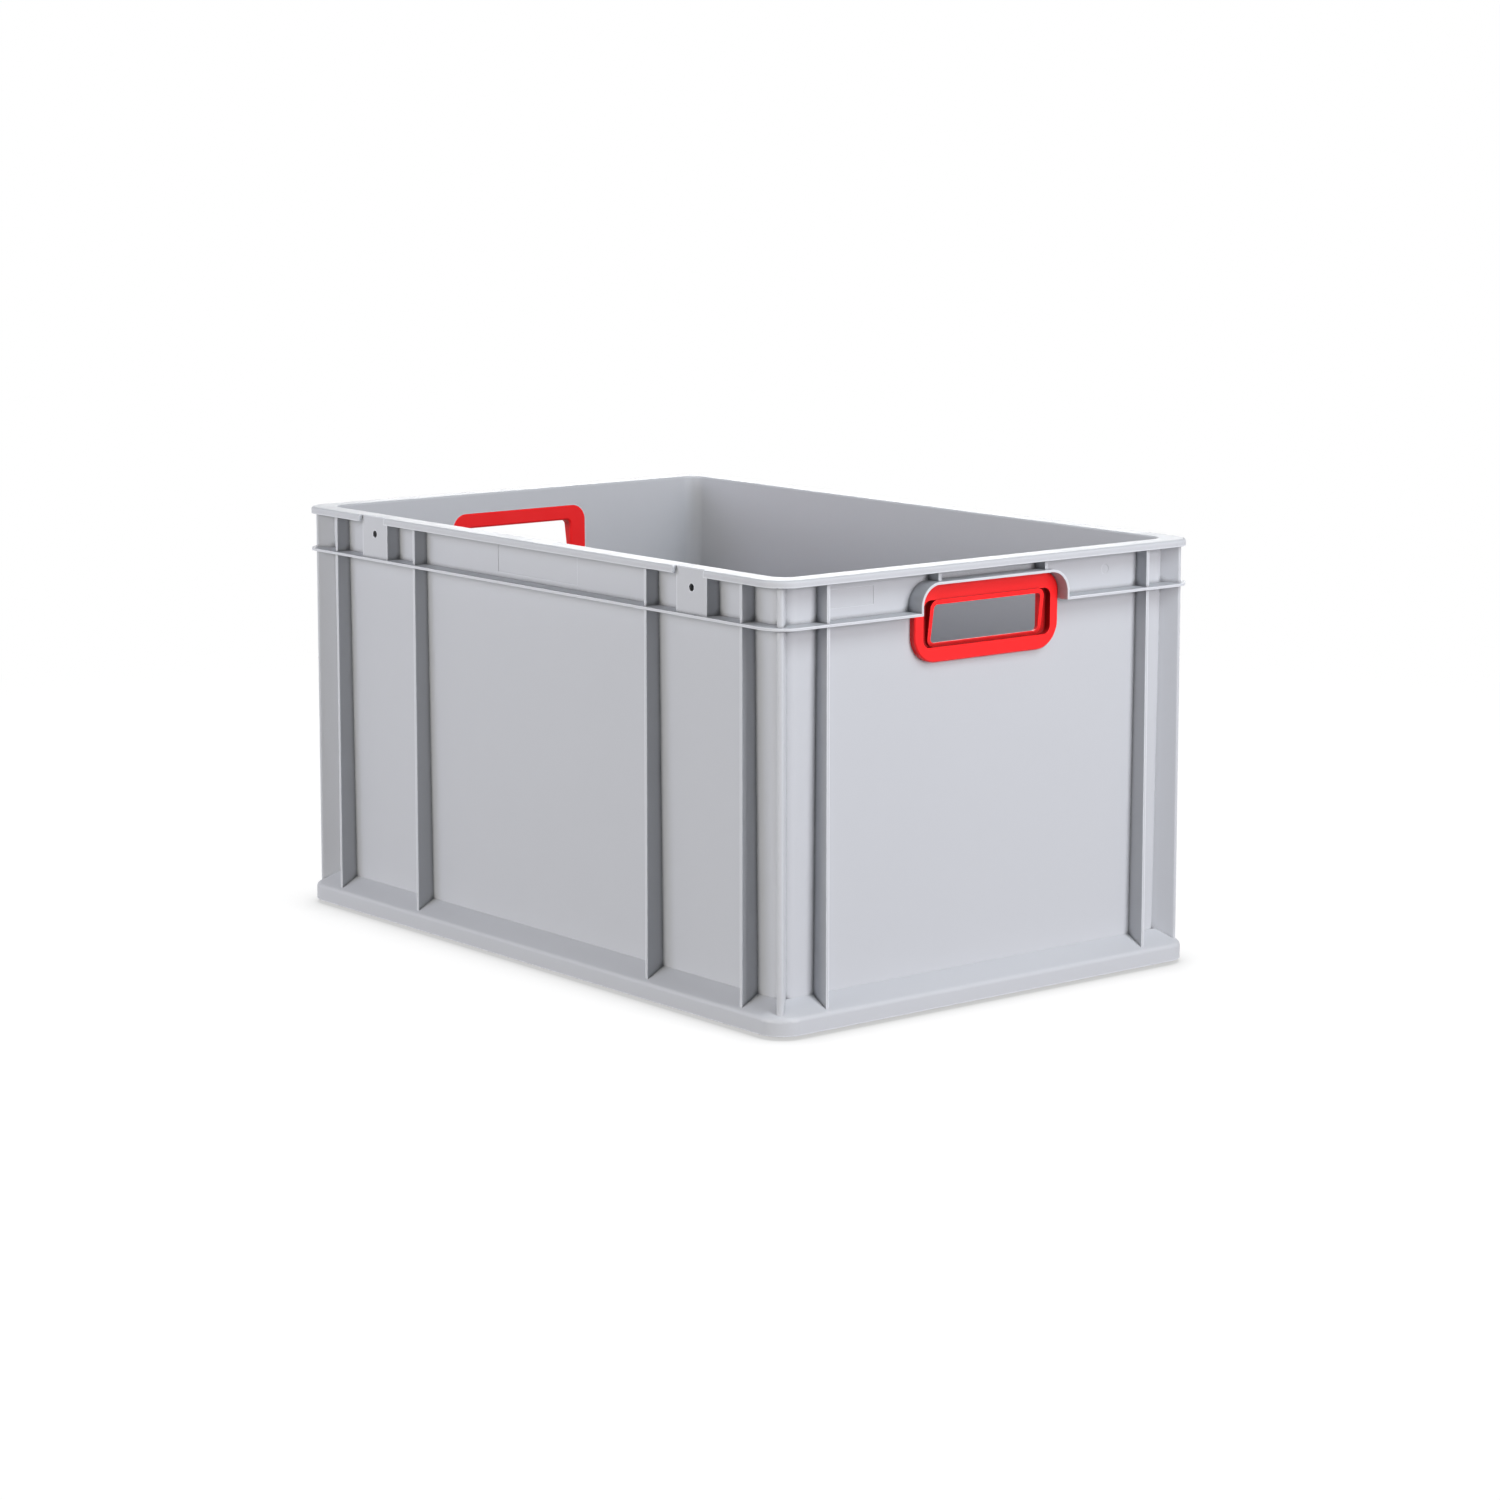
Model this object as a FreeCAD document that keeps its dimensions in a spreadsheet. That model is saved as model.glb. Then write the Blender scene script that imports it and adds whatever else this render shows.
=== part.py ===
import FreeCAD, Part
import math
import os
import Sketcher

# Euro stacking container, 600 x 400 mm on plan and 320 mm high, with a grip moulded into each end.
# Millimetres. +Z is up, X runs along the long side, Y along the short side, and the origin is
# the middle of the underside.

V = FreeCAD.Vector
doc = FreeCAD.newDocument("stacking_container")

# Driving dimensions. Each has one cell, and the sketches and features read the cell by its alias.
sheet = doc.addObject("Spreadsheet::Sheet", "sizes")
sizes = [
    ("length", 600, "over the rim, along X"),
    ("width", 400, "over the rim, along Y"),
    ("height", 320, "foot to rim"),
    ("corner_radius", 20, "rim, band flange and skirt, on plan"),
    ("wall_thickness", 2.4, "side walls"),
    ("wall_inset_top", 14.5, "rim edge to the wall's outer face, at the top"),
    ("wall_inset_foot", 17.8, "the same at the foot, so the walls lean out"),
    ("wall_corner_radius", 11, "outer face of the wall at the foot"),
    ("floor_thickness", 3, "base plate"),
    ("floor_fillet", 6, "inside, where the walls meet the floor"),
    ("foot_drop", 3, "foot below the skirt, which drops into the rim below"),
    ("skirt_edge_height", 11.9, "upright edge of the skirt"),
    ("skirt_slope_height", 10.1, "rise of the sloping ledge to the wall"),
    ("skirt_slope_reach", 17.6, "depth of the sloping ledge"),
    ("skirt_edge_fillet", 4, "between the upright edge and the ledge"),
    ("skirt_thickness", 2.6, "skirt, which is hollow from below"),
    ("lip_height", 5.2, "outer face of the rim"),
    ("lip_thickness", 2.4, "downturned edge of the rim"),
    ("rim_thickness", 3, "flat top of the rim"),
    ("lip_fillet", 2.2, "top outer edge of the rim"),
    ("mouth_chamfer", 0.8, "top inner edge of the rim"),
    ("band_drop", 34.7, "rim to the underside of the band flange"),
    ("band_thickness", 2, "band flange"),
    ("rib_thickness", 2.6, "upright ribs"),
    ("rib_setback", 3.5, "rib edges behind the rim edge"),
    ("rib_outer_margin", 45, "outer ribs of the long sides, from the end of the rim"),
    ("rib_inner_margin", 153.5, "inner ribs of the long sides, from the end of the rim"),
    ("rib_end_margin", 47.3, "ribs of the ends, from the side of the rim"),
    ("corner_rib_thickness", 4.8, "diagonal rib on each corner"),
    ("block_margin", 100, "lid fixing blocks, from the end of the rim"),
    ("block_width", 34.5, "lid fixing blocks"),
    ("block_hole_diameter", 5.5, "hole for a lid hinge pin or screw"),
    ("block_hole_drop", 14, "rim to the middle of that hole"),
    ("block_hole_depth", 9, "blind"),
    ("grip_width", 137.4, "ring of the grip, over its outside"),
    ("grip_height", 56.6, "ring of the grip, over its outside"),
    ("grip_drop", 42.1, "rim to the middle of the grip"),
    ("grip_proud", 5.2, "ring of the grip, out from the wall"),
    ("grip_top_radius", 15, "upper corners of the ring"),
    ("grip_foot_radius", 20, "lower corners of the ring"),
    ("grip_clearance", 0.2, "grip to the container, all round"),
    ("grip_lap", 2.2, "ring over the edge of the wall opening"),
    ("grip_edge_chamfer", 1, "front edge of the ring"),
    ("groove_width", 6.5, "side grooves between the ring and the collar"),
    ("hand_hole_width", 104, "hand hole"),
    ("hand_hole_height", 29.4, "hand hole"),
    ("hand_hole_radius", 4, "corners of the hand hole"),
    ("hand_hole_draft", 8, "degrees, the hand hole narrows outward"),
    ("hand_hole_offset", 0.6, "middle of the hand hole below the middle of the grip"),
    ("collar_thickness", 2.3, "collar round the hand hole"),
    ("collar_proud", 5.9, "upper edge of the collar, out from the wall"),
    ("collar_edge_fillet", 0.8, "front edge of the collar"),
    ("collar_heel", 1.5, "lower edge of the collar, out from the wall"),
    ("hand_hole_chamfer", 1.2, "hand hole edge, inside the container"),
    ("arch_thickness", 1.8, "arch of the band flange over the grip"),
    ("arch_rib_place", 51, "short ribs from the arch to the rim, from the middle"),
    ("label_width", 100, "label field of the long sides"),
    ("label_height", 22, "label field of the long sides"),
    ("label_recess", 0.25, "label field of the long sides"),
    ("plate_mark_width", 41, "blank inset plate of the mould, on the ends"),
    ("plate_mark_height", 13, "blank inset plate of the mould, on the ends"),
    ("plate_mark_margin", 77, "middle of that plate, from the side of the rim"),
    ("pin_mark_diameter", 7, "round mark of an ejector pin, on the ends"),
    ("pin_mark_margin", 80, "middle of that pin, from the side of the rim"),
    ("mark_drop", 18, "rim to the middle of both marks"),
    ("mark_recess", 0.2, "both marks"),
]
for row, (alias, amount, note) in enumerate(sizes, start=1):
    sheet.set("A%d" % row, note)
    sheet.set("B%d" % row, str(amount))
    sheet.setAlias("B%d" % row, alias)

# Sizes that follow from the driving ones.
derived = [
    ("wall_lean", "=atan((wall_inset_foot - wall_inset_top) / height)"),
    ("band_floor", "=height - band_drop"),
    ("lip_floor", "=height - lip_height"),
    ("rim_floor", "=height - rim_thickness"),
    ("grip_middle", "=height - grip_drop"),
    ("wall_inset_grip", "=wall_inset_top + grip_drop * tan(wall_lean)"),
    ("opening_width", "=grip_width - 2 * grip_lap"),
    ("opening_height", "=grip_height - 2 * grip_lap"),
    ("arch_width", "=grip_width + 2 * grip_clearance + 2 * arch_thickness"),
    ("arch_top", "=grip_middle + grip_height / 2 + grip_clearance + arch_thickness"),
    ("rib_outer_place", "=length / 2 - rib_outer_margin"),
    ("rib_inner_place", "=length / 2 - rib_inner_margin"),
    ("rib_end_place", "=width / 2 - rib_end_margin"),
    ("block_place", "=length / 2 - block_margin"),
    ("skirt_slope", "=atan(skirt_slope_reach / skirt_slope_height)"),
    ("skirt_top", "=foot_drop + skirt_edge_height"),
    ("skirt_hollow_edge", "=skirt_edge_height + skirt_thickness * skirt_slope_height / skirt_slope_reach"
        " - skirt_thickness / sin(skirt_slope)"),
    ("label_middle", "=(rim_floor + band_floor + band_thickness) / 2"),
    ("wall_inset_label", "=wall_inset_top + (height - label_middle) * tan(wall_lean)"),
    ("wall_inset_mark", "=wall_inset_top + mark_drop * tan(wall_lean)"),
]
for row, (alias, formula) in enumerate(derived, start=len(sizes) + 1):
    sheet.set("A%d" % row, "worked out")
    sheet.set("B%d" % row, formula)
    sheet.setAlias("B%d" % row, alias)
doc.recompute()


def origin_plane(body, role):
    return [plane for plane in body.Origin.OriginFeatures if plane.Role == role][0]


def new_sketch(body, name, role, lift="0"):
    """A sketch on one of the body's own planes, lifted along its normal by a formula."""
    sketch = body.newObject("Sketcher::SketchObject", name)
    sketch.AttachmentSupport = [(origin_plane(body, role), "")]
    sketch.MapMode = "FlatFace"
    sketch.setExpression("AttachmentOffset.Base.z", lift)
    return sketch


def value(sketch, formula):
    return float(sketch.evalExpression(formula))


def bind(sketch, kind, places, formula):
    """Adds one size to a sketch and ties it to a formula of the sheet."""
    index = sketch.addConstraint(Sketcher.Constraint(kind, *places, value(sketch, formula)))
    sketch.setExpression("Constraints[%d]" % index, formula)


def outline(sketch, wide, high, upper_radius, lower_radius, middle="0", across="0"):
    """A rectangle with rounded corners, centred on x = across and y = middle.

    The four sizes and both places are formulas of the sheet.
    """
    x_middle, y_middle = value(sketch, across), value(sketch, middle)
    half_x, half_y = value(sketch, wide) / 2, value(sketch, high) / 2
    upper, lower = value(sketch, upper_radius), value(sketch, lower_radius)
    first = sketch.GeometryCount
    for side_x, side_y, radius, start in ((1, -1, lower, -90), (1, 1, upper, 0), (-1, 1, upper, 90),
                                          (-1, -1, lower, 180)):
        centre = V(x_middle + side_x * (half_x - radius), y_middle + side_y * (half_y - radius), 0)
        circle = Part.Circle(centre, V(0, 0, 1), radius)
        sketch.addGeometry(Part.ArcOfCircle(circle, math.radians(start), math.radians(start + 90)), False)
    for step in range(4):
        begin = sketch.getPoint(first + step, 2)
        end = sketch.getPoint(first + (step + 1) % 4, 1)
        sketch.addGeometry(Part.LineSegment(begin, end), False)
    right, top, left, bottom = first + 4, first + 5, first + 6, first + 7
    for step in range(4):
        side = first + 4 + step
        sketch.addConstraint(Sketcher.Constraint("Tangent", first + step, 2, side, 1))
        sketch.addConstraint(Sketcher.Constraint("Tangent", side, 2, first + (step + 1) % 4, 1))
    for side in (right, left):
        sketch.addConstraint(Sketcher.Constraint("Vertical", side))
    for side in (top, bottom):
        sketch.addConstraint(Sketcher.Constraint("Horizontal", side))
    sketch.addConstraint(Sketcher.Constraint("Equal", first + 1, first + 2))
    sketch.addConstraint(Sketcher.Constraint("Equal", first, first + 3))
    bind(sketch, "Radius", (first + 1,), upper_radius)
    bind(sketch, "Radius", (first,), lower_radius)
    bind(sketch, "DistanceX", (-1, 1, right, 1), "(%s) / 2 + (%s)" % (wide, across))
    bind(sketch, "DistanceX", (left, 1, -1, 1), "(%s) / 2 - (%s)" % (wide, across))
    bind(sketch, "DistanceY", (-1, 1, top, 1), "(%s) / 2 + (%s)" % (high, middle))
    bind(sketch, "DistanceY", (bottom, 1, -1, 1), "(%s) / 2 - (%s)" % (high, middle))


def bar(sketch, x_low, x_high, y_low, y_high):
    """A plain rectangle between four formulas."""
    first = sketch.GeometryCount
    low_x, high_x = value(sketch, x_low), value(sketch, x_high)
    low_y, high_y = value(sketch, y_low), value(sketch, y_high)
    points = [V(low_x, low_y, 0), V(high_x, low_y, 0), V(high_x, high_y, 0), V(low_x, high_y, 0)]
    for step in range(4):
        sketch.addGeometry(Part.LineSegment(points[step], points[(step + 1) % 4]), False)
    for step in range(4):
        sketch.addConstraint(Sketcher.Constraint("Coincident", first + step, 2, first + (step + 1) % 4, 1))
    for side in (first, first + 2):
        sketch.addConstraint(Sketcher.Constraint("Horizontal", side))
    for side in (first + 1, first + 3):
        sketch.addConstraint(Sketcher.Constraint("Vertical", side))
    bind(sketch, "DistanceX", (-1, 1, first, 1), x_low)
    bind(sketch, "DistanceX", (-1, 1, first, 2), x_high)
    bind(sketch, "DistanceY", (-1, 1, first, 1), y_low)
    bind(sketch, "DistanceY", (-1, 1, first + 1, 2), y_high)


def pad(body, name, sketch, length, lean=None):
    feature = body.newObject("PartDesign::Pad", name)
    feature.Profile = sketch
    feature.setExpression("Length", length)
    if lean:
        feature.setExpression("TaperAngle", lean)
    doc.recompute()
    return feature


def pocket_through(body, name, sketch):
    """Cuts right through the body, both ways from the sketch."""
    feature = body.newObject("PartDesign::Pocket", name)
    feature.Profile = sketch
    feature.Type = "ThroughAll"
    feature.Midplane = True
    doc.recompute()
    return feature


def pocket_up(body, name, sketch, length, lean=None):
    feature = body.newObject("PartDesign::Pocket", name)
    feature.Profile = sketch
    feature.Reversed = True
    feature.setExpression("Length", length)
    if lean:
        feature.setExpression("TaperAngle", lean)
    doc.recompute()
    return feature


def edges_where(shape, test):
    """Names of the edges whose middle point and length pass a test."""
    names = []
    for number, edge in enumerate(shape.Edges, start=1):
        low, high = edge.ParameterRange
        if test(edge.valueAt((low + high) / 2), edge):
            names.append("Edge%d" % number)
    return names


def size(alias):
    return float(sheet.get(alias))


def round_edges(body, name, radius, test):
    base = body.Tip
    feature = body.newObject("PartDesign::Fillet", name)
    feature.Base = (base, edges_where(base.Shape, test))
    feature.setExpression("Radius", radius)
    doc.recompute()
    return feature


def bevel_edges(body, name, reach, test):
    base = body.Tip
    feature = body.newObject("PartDesign::Chamfer", name)
    feature.Base = (base, edges_where(base.Shape, test))
    feature.setExpression("Size", reach)
    doc.recompute()
    return feature


def new_body(label):
    body = doc.addObject("PartDesign::Body", label)
    body.Label = label
    body.AllowCompound = True
    return body


NEAR = 0.01


# Container body: one moulding. The outer forms are joined first and the inside is cut out last.
body = new_body("container_body")

# Skirt: an upright edge, a sloping ledge up to the wall and a hollow underside.
sketch = new_sketch(body, "skirt_plan", "XY_Plane", "sizes.foot_drop")
outline(sketch, "sizes.length", "sizes.width", "sizes.corner_radius", "sizes.corner_radius")
pad(body, "skirt_edge", sketch, "sizes.skirt_edge_height")
sketch = new_sketch(body, "ledge_plan", "XY_Plane", "sizes.skirt_top")
outline(sketch, "sizes.length", "sizes.width", "sizes.corner_radius", "sizes.corner_radius")
pad(body, "ledge", sketch, "sizes.skirt_slope_height", "-sizes.skirt_slope")
round_edges(body, "skirt_rounding", "sizes.skirt_edge_fillet",
            lambda middle, edge: abs(middle.z - size("skirt_top")) < NEAR)
sketch = new_sketch(body, "skirt_hollow_plan", "XY_Plane", "sizes.foot_drop")
outline(sketch, "sizes.length - 2 * sizes.skirt_thickness", "sizes.width - 2 * sizes.skirt_thickness",
        "sizes.corner_radius - sizes.skirt_thickness", "sizes.corner_radius - sizes.skirt_thickness")
pocket_up(body, "skirt_hollow", sketch, "sizes.skirt_hollow_edge")
sketch = new_sketch(body, "ledge_hollow_plan", "XY_Plane", "sizes.foot_drop + sizes.skirt_hollow_edge")
outline(sketch, "sizes.length - 2 * sizes.skirt_thickness", "sizes.width - 2 * sizes.skirt_thickness",
        "sizes.corner_radius - sizes.skirt_thickness", "sizes.corner_radius - sizes.skirt_thickness")
pocket_up(body, "ledge_hollow", sketch,
          "sizes.skirt_slope_height * (1 - sizes.skirt_thickness / sizes.skirt_slope_reach)",
          "-sizes.skirt_slope")

# Rim: a flat top with a downturned edge.
sketch = new_sketch(body, "rim_plan", "XY_Plane", "sizes.lip_floor")
outline(sketch, "sizes.length", "sizes.width", "sizes.corner_radius", "sizes.corner_radius")
pad(body, "rim", sketch, "sizes.lip_height")
round_edges(body, "rim_rounding", "sizes.lip_fillet",
            lambda middle, edge: abs(middle.z - size("height")) < NEAR)
sketch = new_sketch(body, "rim_hollow_plan", "XY_Plane", "sizes.lip_floor")
outline(sketch, "sizes.length - 2 * sizes.lip_thickness", "sizes.width - 2 * sizes.lip_thickness",
        "sizes.corner_radius - sizes.lip_thickness", "sizes.corner_radius - sizes.lip_thickness")
pocket_up(body, "rim_hollow", sketch, "sizes.lip_height - sizes.rim_thickness")

# Band flange under the rim, lifted into an arch over the grip at each end.
sketch = new_sketch(body, "band_plan", "XY_Plane", "sizes.band_floor")
outline(sketch, "sizes.length", "sizes.width", "sizes.corner_radius", "sizes.corner_radius")
pad(body, "band_flange", sketch, "sizes.band_thickness")
sketch = new_sketch(body, "arch_outline", "YZ_Plane")
outline(sketch, "sizes.arch_width", "sizes.arch_top - sizes.band_floor",
        "sizes.grip_top_radius + sizes.grip_clearance + sizes.arch_thickness", "sizes.band_thickness / 4",
        "(sizes.arch_top + sizes.band_floor) / 2")
arch = pad(body, "arch", sketch, "sizes.length")
arch.Midplane = True
doc.recompute()
sketch = new_sketch(body, "arch_opening", "YZ_Plane")
outline(sketch, "sizes.grip_width + 2 * sizes.grip_clearance",
        "2 * (sizes.arch_top - sizes.arch_thickness - sizes.band_floor)",
        "sizes.grip_top_radius + sizes.grip_clearance", "sizes.grip_top_radius + sizes.grip_clearance",
        "sizes.band_floor")
pocket_through(body, "arch_hollow", sketch)

# Lid fixing blocks, two on each long side, between the band flange and the rim.
sketch = new_sketch(body, "block_plan", "XY_Plane", "sizes.band_floor")
for side in (-1, 1):
    bar(sketch, "%d * sizes.block_place - sizes.block_width / 2" % side,
        "%d * sizes.block_place + sizes.block_width / 2" % side,
        "sizes.rib_setback - sizes.width / 2", "sizes.width / 2 - sizes.rib_setback")
pad(body, "fixing_blocks", sketch, "sizes.band_drop")
sketch = new_sketch(body, "block_notch_plan", "XY_Plane", "sizes.lip_floor")
for side in (-1, 1):
    for low, high in (("-sizes.width / 2 - 1", "sizes.rib_setback - sizes.width / 2"),
                      ("sizes.width / 2 - sizes.rib_setback", "sizes.width / 2 + 1")):
        bar(sketch, "%d * sizes.block_place - sizes.block_width / 2" % side,
            "%d * sizes.block_place + sizes.block_width / 2" % side, low, high)
pocket_up(body, "block_notches", sketch, "sizes.lip_height")

# Walls, leaning out from the foot to the rim. The inside is still full.
sketch = new_sketch(body, "wall_plan", "XY_Plane")
outline(sketch, "sizes.length - 2 * sizes.wall_inset_foot", "sizes.width - 2 * sizes.wall_inset_foot",
        "sizes.wall_corner_radius", "sizes.wall_corner_radius")
pad(body, "walls", sketch, "sizes.height", "sizes.wall_lean")

# Upright ribs: four on each long side and two on each end, and webs under the skirt below them.
sketch = new_sketch(body, "rib_plan", "XY_Plane", "sizes.foot_drop")
webs = new_sketch(body, "web_plan", "XY_Plane", "sizes.foot_drop")
for side in (-1, 1):
    for place in ("rib_inner_place", "rib_outer_place"):
        low = "%d * sizes.%s - sizes.rib_thickness / 2" % (side, place)
        high = "%d * sizes.%s + sizes.rib_thickness / 2" % (side, place)
        bar(sketch, low, high, "sizes.rib_setback - sizes.width / 2", "sizes.width / 2 - sizes.rib_setback")
        bar(webs, low, high, "(sizes.skirt_thickness - sizes.width) / 2",
            "(sizes.width - sizes.skirt_thickness) / 2")
pad(body, "long_side_ribs", sketch, "sizes.rim_floor - sizes.foot_drop")
pad(body, "long_side_webs", webs, "sizes.skirt_edge_height - sizes.skirt_edge_fillet")
sketch = new_sketch(body, "end_rib_plan", "XY_Plane", "sizes.foot_drop")
webs = new_sketch(body, "end_web_plan", "XY_Plane", "sizes.foot_drop")
for side in (-1, 1):
    low = "%d * sizes.rib_end_place - sizes.rib_thickness / 2" % side
    high = "%d * sizes.rib_end_place + sizes.rib_thickness / 2" % side
    bar(sketch, "sizes.rib_setback - sizes.length / 2", "sizes.length / 2 - sizes.rib_setback", low, high)
    bar(webs, "(sizes.skirt_thickness - sizes.length) / 2", "(sizes.length - sizes.skirt_thickness) / 2",
        low, high)
pad(body, "end_ribs", sketch, "sizes.rim_floor - sizes.foot_drop")
pad(body, "end_webs", webs, "sizes.skirt_edge_height - sizes.skirt_edge_fillet")
sketch = new_sketch(body, "arch_rib_plan", "XY_Plane", "sizes.arch_top - sizes.arch_thickness / 2")
for side in (-1, 1):
    bar(sketch, "sizes.rib_setback - sizes.length / 2", "sizes.length / 2 - sizes.rib_setback",
        "%d * sizes.arch_rib_place - sizes.rib_thickness / 2" % side,
        "%d * sizes.arch_rib_place + sizes.rib_thickness / 2" % side)
pad(body, "arch_ribs", sketch, "sizes.rim_floor - sizes.arch_top + sizes.arch_thickness / 2")

# Corner ribs, one on the diagonal of each corner, with a rounded outer edge.
for number, (side_x, side_y) in enumerate(((1, 1), (-1, 1), (-1, -1), (1, -1)), start=1):
    sketch = new_sketch(body, "corner_rib_plan_%d" % number, "XY_Plane", "sizes.foot_drop")
    turn = FreeCAD.Rotation(V(0, 0, 1), 90 * number - 45)
    sketch.AttachmentOffset = FreeCAD.Placement(V(0, 0, 0), turn)
    sketch.setExpression("AttachmentOffset.Base.x", "%d * (sizes.length / 2 - sizes.corner_radius)" % side_x)
    sketch.setExpression("AttachmentOffset.Base.y", "%d * (sizes.width / 2 - sizes.corner_radius)" % side_y)
    outline(sketch, "2 * (sizes.corner_radius - sizes.rib_setback)", "sizes.corner_rib_thickness",
            "sizes.corner_rib_thickness * 0.45", "sizes.corner_rib_thickness * 0.45")
    pad(body, "corner_rib_%d" % number, sketch, "sizes.rim_floor - sizes.foot_drop")

# Inside of the container, with the wall thickness left all round. The core is shaped by itself
# and then cut out of the body.
core = new_body("inside_core")
sketch = new_sketch(core, "inside_plan", "XY_Plane", "sizes.floor_thickness")
side_inset = "(sizes.wall_inset_foot + sizes.wall_thickness - sizes.floor_thickness * tan(sizes.wall_lean))"
outline(sketch, "sizes.length - 2 * " + side_inset, "sizes.width - 2 * " + side_inset,
        "sizes.wall_corner_radius - sizes.wall_thickness",
        "sizes.wall_corner_radius - sizes.wall_thickness")
pad(core, "inside_shape", sketch, "sizes.height + 1 - sizes.floor_thickness", "sizes.wall_lean")
round_edges(core, "floor_rounding", "sizes.floor_fillet",
            lambda middle, edge: abs(middle.z - size("floor_thickness")) < NEAR)
inside = body.newObject("PartDesign::Boolean", "inside")
inside.Type = "Cut"
inside.setObjects([core])
doc.recompute()
mouth = size("length") / 2 - size("wall_inset_top") - size("wall_thickness") / 2
bevel_edges(body, "mouth_bevel", "sizes.mouth_chamfer",
            lambda middle, edge: abs(middle.z - size("height")) < NEAR
            and abs(middle.x) < mouth and abs(middle.y) < mouth + (size("width") - size("length")) / 2)

# Openings for the grips, square to the wall they are in.
sketch = new_sketch(body, "grip_opening_outline", "YZ_Plane")
outline(sketch, "sizes.opening_width", "sizes.opening_height", "sizes.grip_top_radius - sizes.grip_lap",
        "sizes.grip_foot_radius - sizes.grip_lap", "sizes.grip_middle")
pocket_through(body, "grip_openings", sketch)

# Blind holes in the fixing blocks and the label field between them, on both long sides.
for name, side in (("front", 1), ("back", -1)):
    sketch = new_sketch(body, "block_hole_plan_" + name, "XZ_Plane",
                        "%d * (sizes.width / 2 - sizes.rib_setback)" % side)
    for place in (-1, 1):
        circle = sketch.addGeometry(Part.Circle(V(100 * place, 100, 0), V(0, 0, 1), 3), False)
        bind(sketch, "DistanceX", (-1, 1, circle, 3), "%d * sizes.block_place" % place)
        bind(sketch, "DistanceY", (-1, 1, circle, 3), "sizes.height - sizes.block_hole_drop")
        bind(sketch, "Diameter", (circle,), "sizes.block_hole_diameter")
    holes = body.newObject("PartDesign::Pocket", "block_holes_" + name)
    holes.Profile = sketch
    holes.Reversed = side < 0
    holes.setExpression("Length", "sizes.block_hole_depth")
    doc.recompute()
    sketch = new_sketch(body, "label_outline_" + name, "XZ_Plane",
                        "%d * (sizes.width / 2 - sizes.wall_inset_label)" % side)
    lean = FreeCAD.Rotation(V(side, 0, 0), 1)
    sketch.AttachmentOffset = FreeCAD.Placement(V(0, 0, 0), lean)
    sketch.setExpression("AttachmentOffset.Rotation.Angle", "sizes.wall_lean")
    sketch.setExpression("AttachmentOffset.Base.y", "sizes.label_middle")
    outline(sketch, "sizes.label_width", "sizes.label_height", "1", "1")
    label = body.newObject("PartDesign::Pocket", "label_field_" + name)
    label.Profile = sketch
    label.Reversed = side < 0
    label.setExpression("Length", "sizes.label_recess")
    doc.recompute()

# Blank marks of the mould in the band of each end: an inset plate and an ejector pin.
for name, side in (("right", 1), ("left", -1)):
    sketch = new_sketch(body, "mark_outline_" + name, "YZ_Plane",
                        "%d * (sizes.length / 2 - sizes.wall_inset_mark)" % side)
    sketch.AttachmentOffset = FreeCAD.Placement(V(0, 0, 0), FreeCAD.Rotation(V(side, 0, 0), 1))
    sketch.setExpression("AttachmentOffset.Rotation.Angle", "sizes.wall_lean")
    sketch.setExpression("AttachmentOffset.Base.y", "sizes.height - sizes.mark_drop")
    outline(sketch, "sizes.plate_mark_width", "sizes.plate_mark_height", "0.5", "0.5", "0",
            "%d * (sizes.plate_mark_margin - sizes.width / 2)" % side)
    circle = sketch.addGeometry(Part.Circle(V(side * 100, 0, 0), V(0, 0, 1), 3), False)
    bind(sketch, "DistanceX", (-1, 1, circle, 3), "%d * (sizes.width / 2 - sizes.pin_mark_margin)" % side)
    sketch.addConstraint(Sketcher.Constraint("PointOnObject", circle, 3, -1))
    bind(sketch, "Diameter", (circle,), "sizes.pin_mark_diameter")
    marks = body.newObject("PartDesign::Pocket", "mould_marks_" + name)
    marks.Profile = sketch
    marks.Reversed = side < 0
    marks.setExpression("Length", "sizes.mark_recess")
    doc.recompute()


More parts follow.
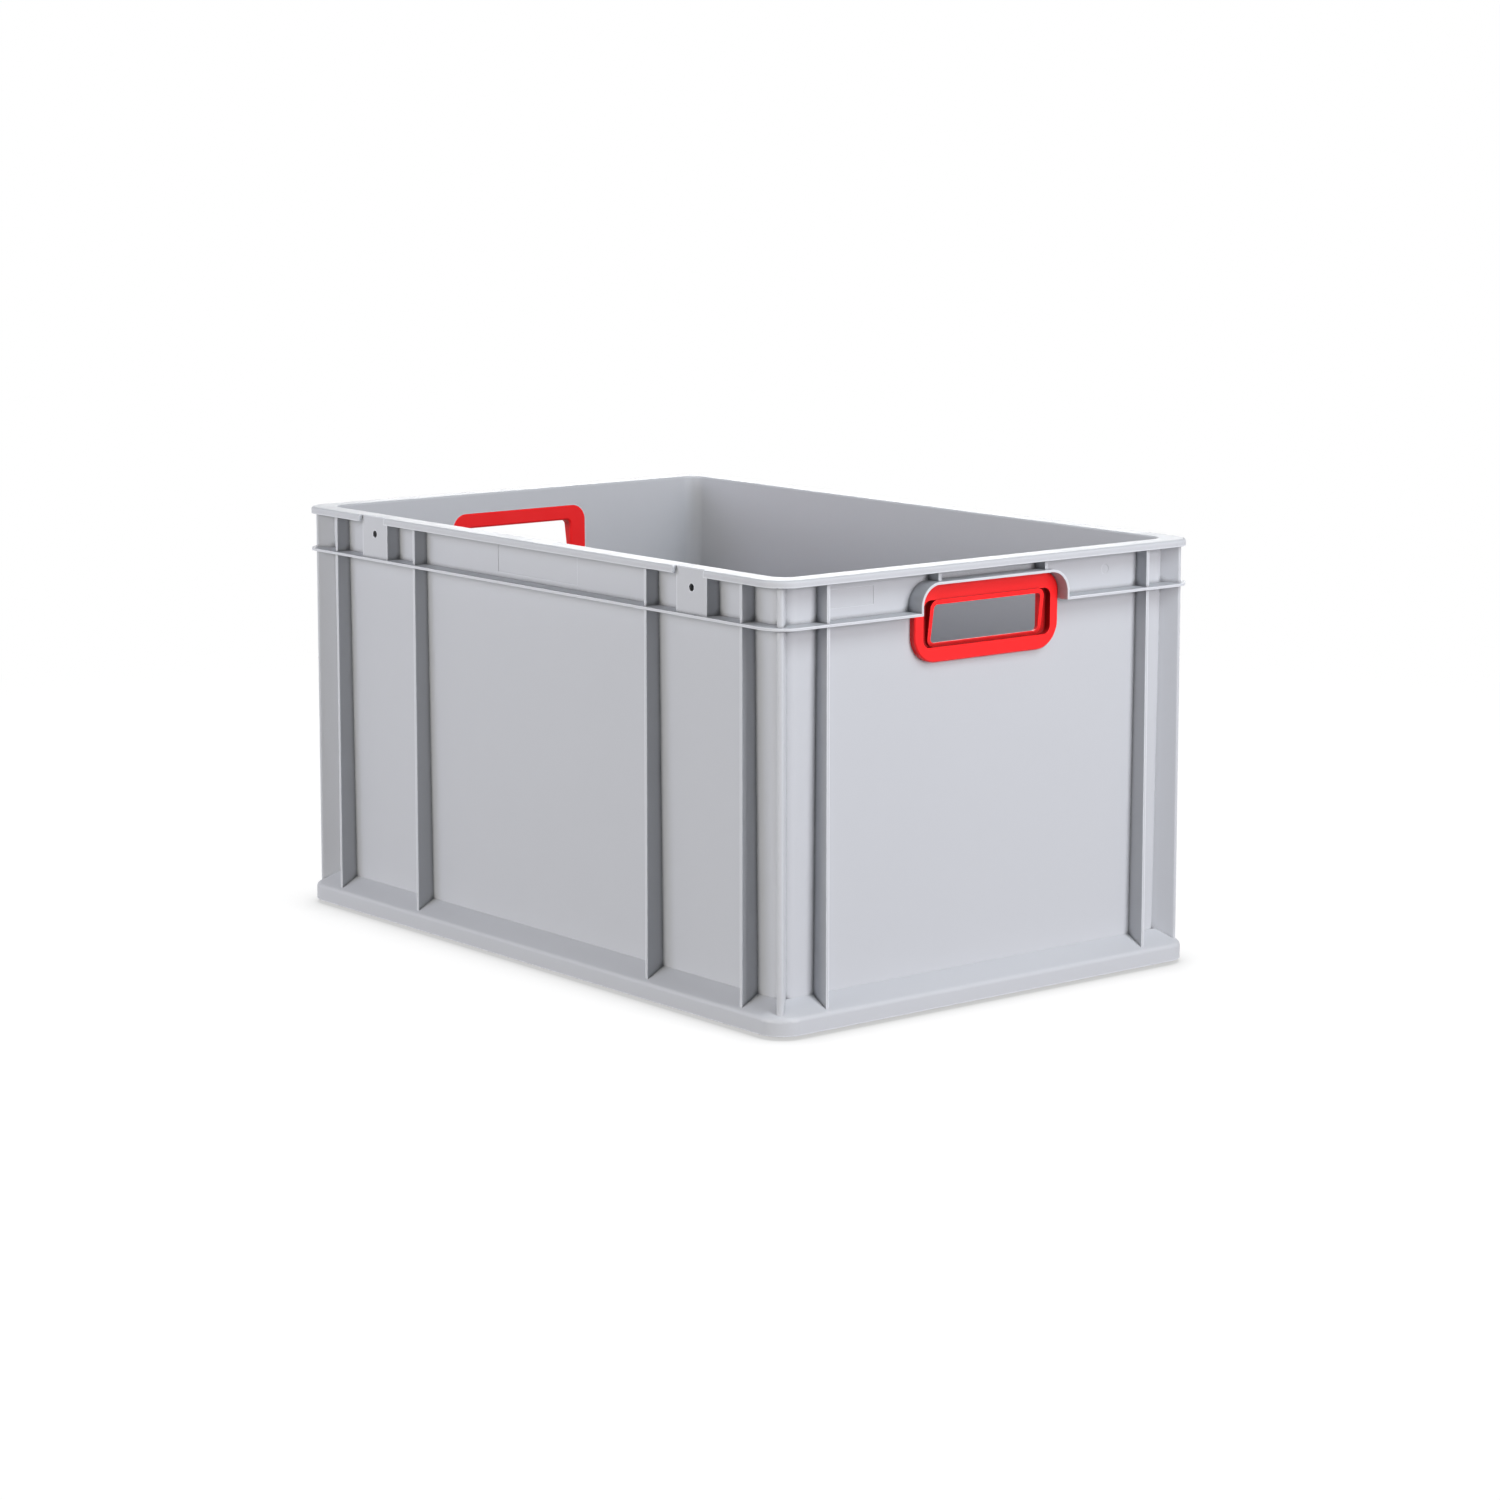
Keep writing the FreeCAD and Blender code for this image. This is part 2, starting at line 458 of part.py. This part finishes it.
# Grips: a ring that laps the wall from outside, a plate through the wall flush with its inside,
# and a slanted collar round the hand hole. Local X points out of the wall from its outer face.
def new_grip(label):
    grip = new_body(label)
    hole_middle = "-sizes.hand_hole_offset"
    collar_size = ("sizes.hand_hole_width + 2 * sizes.collar_thickness",
                   "sizes.hand_hole_height + 2 * sizes.collar_thickness",
                   "sizes.hand_hole_radius + sizes.collar_thickness",
                   "sizes.hand_hole_radius + sizes.collar_thickness", hole_middle)
    sketch = new_sketch(grip, label + "_collar_outline", "YZ_Plane", "-sizes.wall_thickness")
    outline(sketch, *collar_size)
    pad(grip, label + "_collar", sketch, "sizes.wall_thickness + sizes.collar_proud")
    sketch = new_sketch(grip, label + "_slant_side", "XZ_Plane")
    corners = [V(1, -20, 0), V(8, 20, 0), V(9, 21, 0), V(10, -21, 0)]
    for step in range(4):
        sketch.addGeometry(Part.LineSegment(corners[step], corners[(step + 1) % 4]), False)
    for step in range(4):
        sketch.addConstraint(Sketcher.Constraint("Coincident", step, 2, (step + 1) % 4, 1))
    reach = "(sizes.hand_hole_height / 2 + sizes.collar_thickness)"
    bind(sketch, "DistanceX", (-1, 1, 0, 1), "sizes.collar_heel")
    bind(sketch, "DistanceY", (-1, 1, 0, 1), "-sizes.hand_hole_offset - " + reach)
    bind(sketch, "DistanceX", (-1, 1, 0, 2), "sizes.collar_proud")
    bind(sketch, "DistanceY", (-1, 1, 0, 2), "-sizes.hand_hole_offset + " + reach)
    bind(sketch, "DistanceX", (-1, 1, 1, 2), "sizes.collar_proud + 2")
    bind(sketch, "DistanceY", (-1, 1, 1, 2), "-sizes.hand_hole_offset + " + reach + " + 2")
    bind(sketch, "DistanceX", (-1, 1, 2, 2), "sizes.collar_proud + 2")
    bind(sketch, "DistanceY", (-1, 1, 2, 2), "-sizes.hand_hole_offset - " + reach + " - 2")
    pocket_through(grip, label + "_slant", sketch)
    sketch = new_sketch(grip, label + "_ring_outline", "YZ_Plane")
    outline(sketch, "sizes.grip_width", "sizes.grip_height", "sizes.grip_top_radius", "sizes.grip_foot_radius")
    outline(sketch, collar_size[0] + " + 2 * sizes.groove_width", *collar_size[1:])
    pad(grip, label + "_ring", sketch, "sizes.grip_proud")
    bevel_edges(grip, label + "_ring_bevel", "sizes.grip_edge_chamfer",
                lambda middle, edge: abs(middle.x - size("grip_proud")) < NEAR
                and (abs(middle.y) > size("hand_hole_width") / 2 + size("collar_thickness")
                     + size("groove_width") + NEAR
                     or abs(middle.z) > size("hand_hole_height") / 2 + size("collar_thickness")
                     + size("hand_hole_offset") + NEAR))
    sketch = new_sketch(grip, label + "_plate_outline", "YZ_Plane", "-sizes.wall_thickness")
    outline(sketch, "sizes.opening_width - 2 * sizes.grip_clearance",
            "sizes.opening_height - 2 * sizes.grip_clearance",
            "sizes.grip_top_radius - sizes.grip_lap - sizes.grip_clearance",
            "sizes.grip_foot_radius - sizes.grip_lap - sizes.grip_clearance")
    pad(grip, label + "_plate", sketch, "sizes.wall_thickness")
    sketch = new_sketch(grip, label + "_hand_hole_outline", "YZ_Plane", "-sizes.wall_thickness")
    outline(sketch, "sizes.hand_hole_width", "sizes.hand_hole_height", "sizes.hand_hole_radius",
            "sizes.hand_hole_radius", hole_middle)
    pocket_up(grip, label + "_hand_hole", sketch, "sizes.wall_thickness + sizes.collar_proud + 2",
              "-sizes.hand_hole_draft")
    bevel_edges(grip, label + "_hand_hole_bevel", "sizes.hand_hole_chamfer",
                lambda middle, edge: abs(middle.x + size("wall_thickness")) < NEAR
                and abs(middle.y) < size("hand_hole_width") / 2 + NEAR
                and abs(middle.z) < size("hand_hole_height") / 2 + size("hand_hole_offset") + NEAR)
    return grip


grip_right = new_grip("grip_right")
grip_right.Placement = FreeCAD.Placement(V(0, 0, 0), FreeCAD.Rotation(V(0, 1, 0), 1))
grip_right.setExpression("Placement.Base.x", "sizes.length / 2 - sizes.wall_inset_grip")
grip_right.setExpression("Placement.Base.z", "sizes.grip_middle")
grip_right.setExpression("Placement.Rotation.Angle", "sizes.wall_lean")
grip_left = new_grip("grip_left")
grip_left.Placement = FreeCAD.Placement(V(0, 0, 0), FreeCAD.Rotation(V(0, 0, 1), 180))
grip_left.setExpression("Placement.Base.x", "sizes.wall_inset_grip - sizes.length / 2")
grip_left.setExpression("Placement.Base.z", "sizes.grip_middle")
grip_left.setExpression("Placement.Rotation.Axis.x", "-sin(sizes.wall_lean / 2)")
grip_left.setExpression("Placement.Rotation.Axis.z", "cos(sizes.wall_lean / 2)")

# Each piece is checked after the build and saved under its own name.
doc.recompute()
for thing in doc.Objects:
    if "Invalid" in thing.State or "Error" in thing.State:
        raise RuntimeError("%s did not build" % thing.Name)
os.makedirs("parts", exist_ok=True)
for piece in (body, grip_right, grip_left):
    shape = piece.Shape
    if shape.isNull() or not shape.isValid() or len(shape.Solids) != 1:
        raise RuntimeError("%s has no sound solid" % piece.Label)
    shape.exportStep("parts/%s.step" % piece.Label)
    print(piece.Label, "%.1f cm3" % (shape.Volume / 1000), shape.BoundBox)
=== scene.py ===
import bpy
import math
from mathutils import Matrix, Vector

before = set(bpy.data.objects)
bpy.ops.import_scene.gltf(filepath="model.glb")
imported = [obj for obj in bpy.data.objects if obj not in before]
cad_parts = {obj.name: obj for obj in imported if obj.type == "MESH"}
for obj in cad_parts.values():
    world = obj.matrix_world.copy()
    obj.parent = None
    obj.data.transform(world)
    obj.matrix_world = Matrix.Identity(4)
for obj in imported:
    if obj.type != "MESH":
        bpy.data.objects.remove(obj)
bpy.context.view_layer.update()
scene = bpy.context.scene


# Container body. One injection moulding in light grey polypropylene: walls, floor, rim, band,
# ribs and skirt leave the mould together. The steel of the mould is fine-eroded, so the skin is
# satin with a very fine grain. Painted shade darkens the colour in the creases beside each rib,
# and a painted highlight lightens it along the sharp outer edges.
def shader_tree(name):
    material = bpy.data.materials.new(name)
    material.use_nodes = True
    tree = material.node_tree
    tree.nodes.clear()
    output = tree.nodes.new("ShaderNodeOutputMaterial")
    surface = tree.nodes.new("ShaderNodeBsdfPrincipled")
    tree.links.new(surface.outputs["BSDF"], output.inputs["Surface"])
    return material, tree, surface


def object_noise(tree, scale, detail, roughness=0.5):
    """Noise fixed to the object, with its scale in waves per metre."""
    place = tree.nodes.new("ShaderNodeTexCoord")
    noise = tree.nodes.new("ShaderNodeTexNoise")
    noise.inputs["Scale"].default_value = scale
    noise.inputs["Detail"].default_value = detail
    noise.inputs["Roughness"].default_value = roughness
    tree.links.new(place.outputs["Object"], noise.inputs["Vector"])
    return noise.outputs["Fac"]


def spread(tree, fac, low, high):
    """Turns a 0 to 1 value into the range from low to high."""
    ramp = tree.nodes.new("ShaderNodeMapRange")
    ramp.inputs["From Min"].default_value = 0.3
    ramp.inputs["From Max"].default_value = 0.7
    ramp.inputs["To Min"].default_value = low
    ramp.inputs["To Max"].default_value = high
    tree.links.new(fac, ramp.inputs["Value"])
    return ramp.outputs["Result"]


def blend_colours(tree, fac, first, second):
    mix = tree.nodes.new("ShaderNodeMix")
    mix.data_type = "RGBA"
    mix.inputs["A"].default_value = (*first, 1)
    mix.inputs["B"].default_value = (*second, 1)
    tree.links.new(fac, mix.inputs["Factor"])
    return mix.outputs["Result"]


def openness(tree, reach, inside):
    """1 on an open face, falling to about 0.5 in a square corner, or, from inside, on a square edge."""
    look = tree.nodes.new("ShaderNodeAmbientOcclusion")
    look.samples = 6
    look.inside = inside
    look.only_local = True
    look.inputs["Distance"].default_value = reach
    return look.outputs["AO"]


def paint_light_and_shade(tree, colour, fac, plain_from, tone):
    """The colour times the tone where fac is 0.5, and the plain colour from plain_from up."""
    ramp = tree.nodes.new("ShaderNodeMapRange")
    ramp.inputs["From Min"].default_value = 0.5
    ramp.inputs["From Max"].default_value = plain_from
    ramp.inputs["To Min"].default_value = tone
    ramp.inputs["To Max"].default_value = 1.0
    tree.links.new(fac, ramp.inputs["Value"])
    mix = tree.nodes.new("ShaderNodeMix")
    mix.data_type = "RGBA"
    mix.blend_type = "MULTIPLY"
    mix.inputs["Factor"].default_value = 1.0
    tree.links.new(colour, mix.inputs["A"])
    tree.links.new(ramp.outputs["Result"], mix.inputs["B"])
    return mix.outputs["Result"]


def moulded_skin(name, colour, shade, roughness, grain, shine, painted_shade_reach, painted_shade_plain_from,
                 painted_shade_tone):
    """Satin moulded plastic: a faint drift of colour, painted shade in creases, a painted highlight on sharp
    edges, an uneven gloss, a fine grain and soft edges.
    """
    material, tree, surface = shader_tree(name)
    drift = object_noise(tree, 5, 3)
    drift_and_painted_light = blend_colours(tree, drift, colour, shade)
    # painted shade: the colour darkens in creases and inner corners, where shade falls
    drift_and_painted_light = paint_light_and_shade(tree, drift_and_painted_light, openness(tree, painted_shade_reach, False), painted_shade_plain_from, painted_shade_tone)
    # painted highlight: the colour lightens along sharp outer edges, where light catches
    drift_and_painted_light = paint_light_and_shade(tree, drift_and_painted_light, openness(tree, 0.0012, True), 1.0, 1.45)
    tree.links.new(drift_and_painted_light, surface.inputs["Base Color"])
    gloss = object_noise(tree, 30, 4, 0.6)
    tree.links.new(spread(tree, gloss, roughness - 0.04, roughness + 0.05), surface.inputs["Roughness"])
    surface.inputs["IOR"].default_value = 1.49
    surface.inputs["Specular IOR Level"].default_value = shine
    edge = tree.nodes.new("ShaderNodeBevel")
    edge.samples = 6
    edge.inputs["Radius"].default_value = 0.0006
    waves = tree.nodes.new("ShaderNodeBump")
    waves.inputs["Strength"].default_value = 0.12
    waves.inputs["Distance"].default_value = 0.0015
    tree.links.new(object_noise(tree, 9, 1), waves.inputs["Height"])
    tree.links.new(edge.outputs["Normal"], waves.inputs["Normal"])
    skin = tree.nodes.new("ShaderNodeBump")
    skin.inputs["Strength"].default_value = grain
    skin.inputs["Distance"].default_value = 0.0001
    tree.links.new(object_noise(tree, 1800, 2, 0.6), skin.inputs["Height"])
    tree.links.new(waves.outputs["Normal"], skin.inputs["Normal"])
    tree.links.new(skin.outputs["Normal"], surface.inputs["Normal"])
    return material


def dress(name, material):
    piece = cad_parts[name]
    piece.data.materials.clear()
    piece.data.materials.append(material)
    return piece


# The last three numbers set the painted shade in creases: its reach, where it ends, and its darkest tone.
grey_plastic = moulded_skin("grey_plastic", (0.485, 0.50, 0.53), (0.50, 0.515, 0.545), 0.48, 0.25, 0.45,
                            0.006, 0.67, 0.4)
dress("container_body", grey_plastic)

# Grips. Red polypropylene, one moulding at each end, pushed into the wall from outside.
# They come from a smaller, better polished mould, so they shine more than the body.
# As for the body, the last three numbers set the painted shade in creases.
red_plastic = moulded_skin("red_plastic", (0.82, 0.010, 0.012), (0.86, 0.014, 0.016), 0.36, 0.15, 0.3,
                           0.010, 1.0, 0.35)
for grip in ("grip_right", "grip_left"):
    dress(grip, red_plastic)

# Floor. A plain white studio sweep. Close to the container it shows a soft shadow: mostly painted
# shadow, where ambient occlusion dims the paper's glow, with a faint real shadow from the lamps on
# top. Further out it turns into the white of the backdrop.
floor_half = 6.0
shadow_reach = 0.75
white_from = 1.5
bpy.ops.mesh.primitive_plane_add(size=2 * floor_half, location=(0, 0, 0))
floor = bpy.context.object
floor.name = "studio_floor"
paper, paper_tree, paper_surface = shader_tree("studio_floor")
paper_surface.inputs["Base Color"].default_value = (0.3, 0.3, 0.305, 1)
paper_surface.inputs["Roughness"].default_value = 0.9
paper_surface.inputs["Specular IOR Level"].default_value = 0.1


def node(tree, kind, **inputs):
    """A node with its inputs set by name, or by i and a number for an input by position; a socket given is
    linked, any other value is set.
    """
    made = tree.nodes.new(kind)
    for name, given in inputs.items():
        socket = made.inputs[int(name[1:])] if name[0] == "i" and name[1:].isdigit() else made.inputs[name]
        if isinstance(given, bpy.types.NodeSocket):
            tree.links.new(given, socket)
        else:
            socket.default_value = given
    return made


def seen_by_eye(tree):
    """1 for rays from the camera, mirror reflections and rays through glass, else 0."""
    ray = tree.nodes.new("ShaderNodeLightPath")
    first = node(tree, "ShaderNodeMath", i0=ray.outputs["Is Camera Ray"], i1=ray.outputs["Is Glossy Ray"])
    first.operation = "MAXIMUM"
    second = node(tree, "ShaderNodeMath", i0=first.outputs[0], i1=ray.outputs["Is Transmission Ray"])
    second.operation = "MAXIMUM"
    return second.outputs[0]


lit_paper = node(paper_tree, "ShaderNodeBsdfDiffuse", Color=(0.15, 0.15, 0.15, 1))
# painted shadow: near the container the paper's glow is dimmed by ambient occlusion, darkest where the skirt
# meets the floor
painted_shadow_occlusion = node(paper_tree, "ShaderNodeAmbientOcclusion", Distance=0.05)
painted_shadow_occlusion.samples = 16
painted_contact_shadow = node(paper_tree, "ShaderNodeMapRange", Value=painted_shadow_occlusion.outputs["AO"])
painted_contact_shadow.inputs["From Min"].default_value = 0.3
painted_contact_shadow.inputs["From Max"].default_value = 1.0
painted_contact_shadow.inputs["To Min"].default_value = 0.54
painted_contact_shadow.inputs["To Max"].default_value = 0.93
paper_glow_with_painted_shadow = node(paper_tree, "ShaderNodeEmission", Color=(1, 1, 1, 1), Strength=painted_contact_shadow.outputs["Result"])
near_paper = node(paper_tree, "ShaderNodeAddShader", i0=lit_paper.outputs[0], i1=paper_glow_with_painted_shadow.outputs[0])
far_paper = node(paper_tree, "ShaderNodeEmission", Color=(1, 1, 1, 1), Strength=1.0)
place = paper_tree.nodes.new("ShaderNodeTexCoord")
reach = node(paper_tree, "ShaderNodeVectorMath", i0=place.outputs["Object"])
reach.operation = "LENGTH"
fade = node(paper_tree, "ShaderNodeMapRange", Value=reach.outputs["Value"])
fade.inputs["From Min"].default_value = shadow_reach
fade.inputs["From Max"].default_value = white_from
fade.interpolation_type = "SMOOTHSTEP"
seen_paper = node(paper_tree, "ShaderNodeMixShader", Fac=fade.outputs["Result"],
                  i1=near_paper.outputs[0], i2=far_paper.outputs[0])
paper_choice = node(paper_tree, "ShaderNodeMixShader", Fac=seen_by_eye(paper_tree),
                    i1=paper_surface.outputs[0], i2=seen_paper.outputs[0])
paper_output = [made for made in paper_tree.nodes if made.type == "OUTPUT_MATERIAL"][0]
paper_tree.links.new(paper_choice.outputs["Shader"], paper_output.inputs["Surface"])
floor.data.materials.append(paper)

# Light. A wide soft box rakes along each outer side, with a second, higher box on the right, one
# in front and one behind. The room adds a weak even fill, and behind everything the backdrop is white.
world = bpy.data.worlds.new("studio_room")
scene.world = world
world.use_nodes = True
room = world.node_tree
room.nodes.clear()
fill = node(room, "ShaderNodeBackground", Color=(0.96, 0.98, 1.0, 1), Strength=0.03)
white = node(room, "ShaderNodeBackground", Color=(1, 1, 1, 1), Strength=1.0)
room_choice = node(room, "ShaderNodeMixShader", Fac=seen_by_eye(room), i1=fill.outputs[0], i2=white.outputs[0])
room_output = node(room, "ShaderNodeOutputWorld", Surface=room_choice.outputs[0])


def soft_box(name, bearing, rise, power, colour):
    """A soft box 1.2 m square, 2.8 m from the middle of the container and aimed at it."""
    turn, climb = math.radians(bearing), math.radians(rise)
    outward = Vector((math.cos(turn) * math.cos(climb), math.sin(turn) * math.cos(climb), math.sin(climb)))
    lamp = bpy.data.lights.new(name, "AREA")
    lamp.shape = "SQUARE"
    lamp.size = 1.2
    lamp.energy = power
    lamp.color = colour
    box = bpy.data.objects.new(name, lamp)
    box.location = Vector((0, 0, 0.16)) + 2.8 * outward
    box.rotation_euler = (-outward).to_track_quat("-Z", "Y").to_euler()
    scene.collection.objects.link(box)


soft_box("soft_box_left", -120, 18, 26, (0.85, 0.87, 1.0))
soft_box("soft_box_front", -90, 12, 40, (1.0, 0.96, 0.893))
soft_box("soft_box_right", 8, 12, 48, (1.0, 0.957, 0.971))
soft_box("soft_box_right_high", 8, 42, 37, (0.914, 0.97, 1.0))
soft_box("soft_box_back", 140, 25, 30, (1.0, 1.0, 1.0))

# Camera. It looks past the near corner at the photograph's angle, a little from above.
# The lens is shifted up a little, as on a view camera, so the upright lines stay nearly parallel.
turn = math.radians(51.214)
dip = math.radians(7.813)
lens = bpy.data.cameras.new("camera")
lens.sensor_width = 36
lens.lens = 92.71
lens.shift_y = -0.1
lens.clip_start = 0.05
camera = bpy.data.objects.new("camera", lens)
camera.location = (2.30485, -1.83576, 0.66317)
camera.rotation_euler = (math.pi / 2 - dip, 0, turn)
scene.collection.objects.link(camera)
scene.camera = camera
scene.view_settings.view_transform = "Standard"
